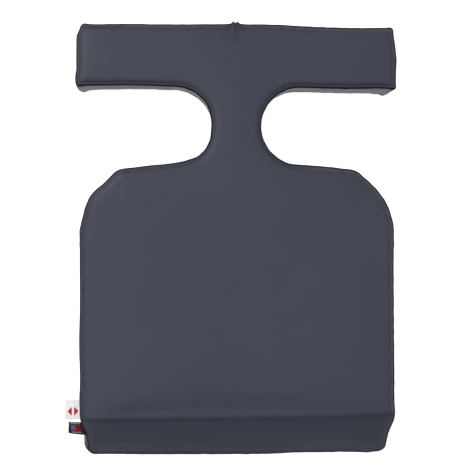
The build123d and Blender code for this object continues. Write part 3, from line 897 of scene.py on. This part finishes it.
i_front = int(round(JOIN_FRONT / DS))
i_rear = int(round(JOIN_REAR / DS))
end_right = int(np.where((OUT[:, 0] > 0) & (OUT[:, 1] < REAR + 2.2))[0].min())
end_left = int(np.where((OUT[:, 0] < 0) & (OUT[:, 1] < REAR + 2.2))[0].max())
right = wall("cover_side_right", [k % N for k in range(I_HEAD, N + end_right + 1)])
left_rear = wall("cover_side_left_rear", range(end_left, i_rear + 1))
left_front = wall("cover_side_left_front", range(i_front, I_HEAD + 1))
zip_u = wall("cover_zip_strip_upper", range(i_rear, i_front + 1), rows=16, z1=ZIP_UP + 0.9)
zip_l = wall("cover_zip_strip_lower", range(i_rear, i_front + 1), rows=16, z0=ZIP_LOW - 0.9)
for o, n in ((right, "boxing_right"), (left_rear, "boxing_left_rear"), (left_front, "boxing_left_front"), (zip_u, "zip_boxing_upper"), (zip_l, "zip_boxing_lower")):
    thicken(o, 1.0)
    dress(o, VINYL, "pad", "cover_vinyl", n)


# ------------------------------------------------------------------ foam inside the cover
def foam_block(name, z_low, z_high):
    """Foam with softened corners, a little inside the cover."""
    v, f = closed_form(z_low, z_high, 4.95)
    o = new_object(name, lean(v), f)
    m = o.modifiers.new("soft_edge", "BEVEL")
    m.width = 0.0012
    m.segments = 2
    m.limit_method = "ANGLE"
    m.angle_limit = math.radians(50)
    return o


cap_z = rounded_edge(1.9)
core = foam_block("foam_core_firm", lambda x, y: np.full(len(x), 1.4), lambda x, y: np.minimum(cap_z(x, y), 51.8))
dress(core, FOAM_A, "pad", "base_foam", "base_foam")
topper = foam_block("foam_topper_soft", lambda x, y: np.full(len(x), 51.9), cap_z)
dress(topper, FOAM_B, "pad", "comfort_foam", "comfort_foam")


# ------------------------------------------------------------------ zip
def tube(points, radius, sides=6):
    """Round bar along points (mm); radius may vary."""
    p = np.asarray(points, float)
    r = np.broadcast_to(radius, len(p))
    t = np.gradient(p, axis=0)
    t /= np.linalg.norm(t, axis=1)[:, None]
    ref = np.array([1.0, 0.2, 0.1])
    a = np.cross(t, ref)
    a /= np.linalg.norm(a, axis=1)[:, None]
    b = np.cross(t, a)
    th = np.linspace(0, 2 * math.pi, sides, endpoint=False)
    v = p[:, None, :] + r[:, None, None] * (np.cos(th)[None, :, None] * a[:, None, :] + np.sin(th)[None, :, None] * b[:, None, :])
    v = v.reshape(-1, 3)
    f = []
    for i in range(len(p) - 1):
        for k in range(sides):
            k2 = (k + 1) % sides
            f.append((i * sides + k, i * sides + k2, (i + 1) * sides + k2, (i + 1) * sides + k))
    f.append(tuple(range(sides))[::-1])
    f.append(tuple((len(p) - 1) * sides + k for k in range(sides)))
    return v, f


coil_lo, coil_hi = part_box("zip_coil_upper")
low_lo, low_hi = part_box("zip_coil_lower")
Y0, Y1 = coil_lo.y / MM, coil_hi.y / MM
CX = (coil_lo.x + coil_hi.x) / 2 / MM
ZMID = (coil_lo.z + low_hi.z) / 2 / MM
PITCH = 1.5
for name, node_name, sign, shift in (("zip_coil_teeth_upper", "zip_coil_upper", 1, 0.0), ("zip_coil_teeth_lower", "zip_coil_lower", -1, 0.5)):
    turns = int((Y1 - Y0 - 1) / PITCH)
    u = np.arange(0, turns, 1 / 14.0)
    th = 2 * math.pi * (u + shift)
    squeeze = np.sign(np.cos(th)) * np.abs(np.cos(th)) ** 0.7
    pts = np.column_stack([CX - 0.05 + 0.72 * np.sin(th), Y0 + 0.5 + PITCH * (u + shift * 0), ZMID + sign * (1.15 + 1.62 * squeeze * 1.0)])
    v, f = tube(pts, 0.32, 6)
    o = new_object(name, v, f)
    dress(o, COIL, "pad", "zip_coil", node_name)

for n in ("zip_tape_upper", "zip_tape_lower"):
    dress(nodes[n], TAPE, "pad", "zip_tape")
for n in ("zip_top_stops", "zip_bottom_stop"):
    dress(nodes[n], METAL, "pad", "zip_metal")
dress(nodes["zip_slider"], METAL, "slider", "zip_metal")
dress(nodes["zip_pull"], METAL, "pull", "zip_metal")


def stitches(name, cad):
    lo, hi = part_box(cad)
    zc = (lo.z + hi.z) / 2 / MM
    x0 = hi.x / MM
    verts, faces, base = [], [], 0
    y = lo.y / MM + 2
    k = 0
    rng = np.random.RandomState(5)
    while y + 3.0 < hi.y / MM - 1:
        u = np.linspace(0, 1, 7)
        wob = rng.uniform(-0.08, 0.08)
        pts = np.column_stack([x0 - 0.28 * np.sin(math.pi * u) + 0.12, y + 2.9 * u, zc + wob * np.ones(7)])
        r = 0.30 * (0.55 + 0.45 * np.sin(math.pi * u))
        v, f = tube(pts, r, 6)
        verts.append(v)
        faces += [tuple(i + base for i in q) for q in f]
        base += len(v)
        y += 3.5
        k += 1
    o = new_object(name, np.concatenate(verts), faces)
    return dress(o, THREAD, "pad", "thread", cad)


stitches("zip_stitches_upper", "topstitch_upper")
stitches("zip_stitches_lower", "topstitch_lower")


# ------------------------------------------------------------------ labels
def label_mat(name, body_col, marks, skew=0.0, x_root=0.0, sheen=0.3, painted_glow=0.0):
    """Woven satin ribbon. marks are boxes or lozenges (kind, x, y, half x, half y, colour), in mm, drawn in the plan of
    the label.
    painted_glow is a painted glow: emission that stands in for light shining from behind a thin pale ribbon."""
    m, nt, b, _ = material(name)
    oc = node(nt, "ShaderNodeAttribute", attribute_name="flat_place").outputs["Vector"]  # stays on the cloth as it bends
    sep = node(nt, "ShaderNodeSeparateXYZ", {"Vector": oc})
    X = math_(nt, "MULTIPLY", sep.outputs[0], 1000.0)
    Y = math_(nt, "MULTIPLY", sep.outputs[1], 1000.0)
    Y = math_(nt, "ADD", Y, math_(nt, "MULTIPLY", math_(nt, "SUBTRACT", X, x_root), skew))
    warp = math_(nt, "SINE", math_(nt, "MULTIPLY", sep.outputs[1], 16000.0))
    weft = math_(nt, "SINE", math_(nt, "MULTIPLY", sep.outputs[0], 16000.0))
    weave = math_(nt, "ADD", math_(nt, "MULTIPLY", warp, 0.5), math_(nt, "MULTIPLY", weft, 0.5))
    col = None
    c = mix(nt, ramp(nt, weave, -1, 1), tuple(v * 0.86 for v in body_col[:3]) + (1,), body_col)
    for kind, cx, cy, hx, hy, colour in marks:
        dx = math_(nt, "ABSOLUTE", math_(nt, "SUBTRACT", X, cx))
        dy = math_(nt, "ABSOLUTE", math_(nt, "SUBTRACT", Y, cy))
        if kind == "box":
            f = math_(nt, "MULTIPLY", math_(nt, "LESS_THAN", dx, hx), math_(nt, "LESS_THAN", dy, hy))
        elif kind == "dashes":
            f = math_(nt, "MULTIPLY", math_(nt, "LESS_THAN", dx, hx), math_(nt, "LESS_THAN", dy, hy))
            comb = math_(nt, "GREATER_THAN", math_(nt, "SINE", math_(nt, "MULTIPLY", X, 3.6)), -0.25)
            f = math_(nt, "MULTIPLY", f, comb)
        else:
            f = math_(nt, "LESS_THAN", math_(nt, "ADD", math_(nt, "DIVIDE", dx, hx), math_(nt, "DIVIDE", dy, hy)), 1.0)
        c = mix(nt, f, c, colour)
    nt.links.new(c, b.inputs["Base Color"])
    nt.links.new(ramp(nt, noise(nt, oc, 1500.0), 0.3, 0.7, 0.45, 0.6), b.inputs["Roughness"])
    b.inputs["Sheen Weight"].default_value = sheen
    b.inputs["Specular IOR Level"].default_value = 0.2
    # painted glow in the ribbon's own colour
    nt.links.new(c, b.inputs["Emission Color"])
    b.inputs["Emission Strength"].default_value = painted_glow
    nt.links.new(bump_node(nt, weave, 0.35, 0.00006), b.inputs["Normal"])
    return m


def folded_label(name, cad, mat, slot, slope, gap=0.45, droop=1.2, shift=0.0, wide=1.0, turn=0.0, taper=0.02, splay=0.0, root=3.0):
    """A ribbon folded back on itself, both ends in the seam, standing out of the left side."""
    lo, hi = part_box(cad)
    x_in, x_out = hi.x / MM + root, lo.x / MM + 0.3
    y_mid = (lo.y + hi.y) / 2 / MM + shift
    z_mid = (lo.z + hi.z) / 2 / MM
    half_w = (hi.y - lo.y) / 2 / MM * wide
    length = x_in - x_out
    prof = []
    for u in np.linspace(0, 1, 22):
        prof.append((x_in - u * (length - gap), gap * (0.25 + 0.75 * smooth(u, 0.0, 0.5)), u))
    for a in np.radians(np.linspace(75, -75, 9)):
        prof.append((x_out + gap - gap * math.cos(a), gap * math.sin(a), 1.0))
    for u in np.linspace(1, 0, 22):
        prof.append((x_in - u * (length - gap), -gap * (0.25 + 0.75 * smooth(u, 0.0, 0.5)), u))
    rows = np.linspace(-1, 1, 19)
    verts, faces = [], []
    m = len(prof)
    for v in rows:
        for x, h, u in prof:
            wob = 0.35 * math.sin(3.0 * v + 2.2 * u) * u
            y = y_mid + v * half_w * (1 - taper * u) + turn * u
            z = z_mid - 3.6 + 3.2 * smooth(u, 0.0, 0.7) + h * (1 + 0.25 * math.cos(2.5 * v)) - droop * u * u + wob + slope * (y - y_mid)
            verts.append((x + 0.25 * math.sin(2.1 * v) * u - splay * (0.5 - 0.5 * v) * u, y, z))
    for r in range(len(rows) - 1):
        for k in range(m - 1):
            a = r * m + k
            faces.append((a, a + 1, a + m + 1, a + m))
    o = new_object(name, verts, faces)
    place_attr = o.data.attributes.new("flat_place", "FLOAT_VECTOR", "POINT")
    place_attr.data.foreach_set("vector", np.array([v.co for v in o.data.vertices], np.float32).ravel())
    thicken(o, 0.28, 0.0)
    dress(o, mat, None, slot, cad)
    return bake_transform(o)


lo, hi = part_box("maker_label")
mx, my = (lo.x + hi.x) / 2 / MM, (lo.y + hi.y) / 2 / MM
white = label_mat(
    "label_white_satin",
    (0.93, 0.93, 0.92, 1),
    [
        ("lozenge", mx + 0.2, my - 3.4, 7.6, 8.4, (0.50, 0.010, 0.018, 1)),
        ("box", mx + 0.2, my - 3.4, 1.5, 9.0, (0.93, 0.93, 0.92, 1)),
    ],
    # painted glow that brightens the white ribbon
    painted_glow=0.16,
)
folded_label("label_white", "maker_label", white, "white_label", 0.0, shift=-0.9, wide=1.03)
lo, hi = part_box("origin_label")
ox, oy = (lo.x + hi.x) / 2 / MM, (lo.y + hi.y) / 2 / MM
dark = label_mat(
    "label_black_woven",
    (0.022, 0.018, 0.018, 1),
    [
        ("box", ox - 3.6, oy + 0.6, 3.3, 4.6, (0.115, 0.145, 0.33, 1)),
        ("box", ox + 3.3, oy, 3.5, 5.2, (0.30, 0.006, 0.018, 1)),
        ("box", ox - 3.6, oy - 4.7, 3.4, 0.9, (0.30, 0.006, 0.018, 1)),
        ("dashes", ox, oy + 8.0, 6.6, 0.9, (0.66, 0.64, 0.62, 1)),
        ("dashes", ox, oy - 8.0, 6.6, 0.9, (0.66, 0.64, 0.62, 1)),
    ],
    skew=0.10,
    x_root=hi.x / MM,
    sheen=0.0,
)
folded_label("label_woven", "origin_label", dark, "woven_label", GRADE, gap=0.4, droop=0.6, wide=1.09, shift=-1.9, turn=3.2, taper=0.14, splay=2.4, root=5.5)

# ------------------------------------------------------------------ stage
def floor_material():
    """Pale paper. The camera sees it brighter than it lights the pad, as a sheet that is lit from the front."""
    m, nt, b, oc = material("stage_white")
    b.inputs["Base Color"].default_value = (0.90, 0.90, 0.90, 1)
    b.inputs["Roughness"].default_value = 0.9
    b.inputs["Specular IOR Level"].default_value = 0.1
    b.inputs["Emission Color"].default_value = (1, 1, 1, 1)
    lp = nt.nodes.new("ShaderNodeLightPath")
    seen = lp.outputs["Is Camera Ray"]
    sep = node(nt, "ShaderNodeSeparateXYZ", {"Vector": oc})
    across = math_(nt, "DIVIDE", math_(nt, "SUBTRACT", math_(nt, "ABSOLUTE", sep.outputs[0]), 0.14), 0.125)
    along_ = math_(nt, "DIVIDE", math_(nt, "SUBTRACT", sep.outputs[1], 0.175), 0.07)
    r2 = math_(nt, "ADD", math_(nt, "MULTIPLY", across, across), math_(nt, "MULTIPLY", along_, along_))
    inside = math_(nt, "MULTIPLY", ramp(nt, r2, 0.8, 1.8, 0.50, 0.0), lp.outputs["Is Glossy Ray"])
    nt.links.new(math_(nt, "ADD", math_(nt, "MULTIPLY", seen, 0.78), inside), b.inputs["Emission Strength"])
    unseen = mix(nt, lp.outputs["Is Glossy Ray"], (0.78, 0.78, 0.78, 1), (0.60, 0.60, 0.63, 1))
    nt.links.new(mix(nt, seen, unseen, (0.90, 0.90, 0.90, 1)), b.inputs["Base Color"])
    return m


floor = new_object("stage_floor", [(-6000, -6000, -0.3), (6000, -6000, -0.3), (6000, 6000, -0.3), (-6000, 6000, -0.3)], [(0, 1, 2, 3)], False)
floor.data.materials.append(floor_material())

world = bpy.data.worlds.new("studio")
bpy.context.scene.world = world
world.use_nodes = True
nt = world.node_tree
nt.nodes.clear()
wout = nt.nodes.new("ShaderNodeOutputWorld")
bg = nt.nodes.new("ShaderNodeBackground")
cam_bg = nt.nodes.new("ShaderNodeBackground")
cam_bg.inputs[0].default_value = (1, 1, 1, 1)
cam_bg.inputs[1].default_value = 1.15
lp = nt.nodes.new("ShaderNodeLightPath")
mx_ = nt.nodes.new("ShaderNodeMixShader")
nt.links.new(lp.outputs["Is Camera Ray"], mx_.inputs[0])
nt.links.new(bg.outputs[0], mx_.inputs[1])
nt.links.new(cam_bg.outputs[0], mx_.inputs[2])
nt.links.new(mx_.outputs[0], wout.inputs[0])
tcw = nt.nodes.new("ShaderNodeTexCoord")
sepw = node(nt, "ShaderNodeSeparateXYZ", {"Vector": tcw.outputs["Generated"]})
over = node(nt, "ShaderNodeMapRange", {"Value": sepw.outputs[2], "From Min": 0.15, "From Max": 0.90, "To Min": 0.20, "To Max": 1.23}, interpolation_type="SMOOTHSTEP").outputs[0]
near_top = node(nt, "ShaderNodeMapRange", {"Value": sepw.outputs[2], "From Min": 0.4, "From Max": 0.95, "To Min": 0.0, "To Max": 1.0}, interpolation_type="SMOOTHSTEP").outputs[0]
tilt = node(nt, "ShaderNodeMapRange", {"Value": sepw.outputs[0], "From Min": -0.35, "From Max": 0.35, "To Min": 0.31, "To Max": -0.31}).outputs[0]
away = node(nt, "ShaderNodeMapRange", {"Value": sepw.outputs[1], "From Min": -0.80, "From Max": -0.12, "To Min": 0.05, "To Max": 1.0}, interpolation_type="SMOOTHSTEP").outputs[0]
low_band = node(nt, "ShaderNodeMapRange", {"Value": sepw.outputs[2], "From Min": 0.0, "From Max": 0.34, "To Min": 0.42, "To Max": 0.0}, interpolation_type="SMOOTHSTEP").outputs[0]
not_behind = node(nt, "ShaderNodeMapRange", {"Value": sepw.outputs[1], "From Min": -0.85, "From Max": -0.25, "To Min": 0.0, "To Max": 1.0}, interpolation_type="SMOOTHSTEP").outputs[0]
ahead = node(nt, "ShaderNodeMapRange", {"Value": sepw.outputs[1], "From Min": -0.15, "From Max": 0.45, "To Min": 1.07, "To Max": 0.76}, interpolation_type="SMOOTHSTEP").outputs[0]
over = math_(nt, "MULTIPLY", over, ahead)
glow = math_(nt, "ADD", math_(nt, "MULTIPLY", over, away), math_(nt, "MULTIPLY", tilt, near_top))
nt.links.new(math_(nt, "ADD", glow, math_(nt, "MULTIPLY", low_band, not_behind)), bg.inputs[1])
bg.inputs[0].default_value = (1.0, 1.0, 1.0, 1)


def area(name, loc, size, power, target=(0, 0, 0.03)):
    li = bpy.data.lights.new(name, "AREA")
    li.shape = "DISK"
    li.size = size
    li.energy = power
    o = bpy.data.objects.new(name, li)
    o.location = loc
    o.rotation_mode = "QUATERNION"
    o.rotation_quaternion = (Vector(target) - Vector(loc)).to_track_quat("-Z", "Y")
    bpy.context.scene.collection.objects.link(o)
    return o


area("key_softbox", (-1.5, 1.3, 2.2), 1.6, 12.0)

# ------------------------------------------------------------------ camera, looking almost straight down
cam = bpy.data.cameras.new("camera")
cam.sensor_width = 36.0
cam.lens = 18.0 / math.tan(math.radians(16.9))
co_ = bpy.data.objects.new("camera", cam)
bpy.context.scene.collection.objects.link(co_)
co_.location = (-0.0427, 0.0415, 1.1705)
co_.rotation_mode = "QUATERNION"
back = (co_.location - Vector((-0.0040, 0.0175, TOP * MM))).normalized()
side = Vector((0, 1, 0)).cross(back).normalized()
co_.rotation_quaternion = Matrix((side, back.cross(side), back)).transposed().to_quaternion()
cam.clip_start, cam.clip_end = 0.05, 50
bpy.context.scene.camera = co_
bpy.context.scene.view_settings.view_transform = "Standard"

bpy.context.view_layer.update()
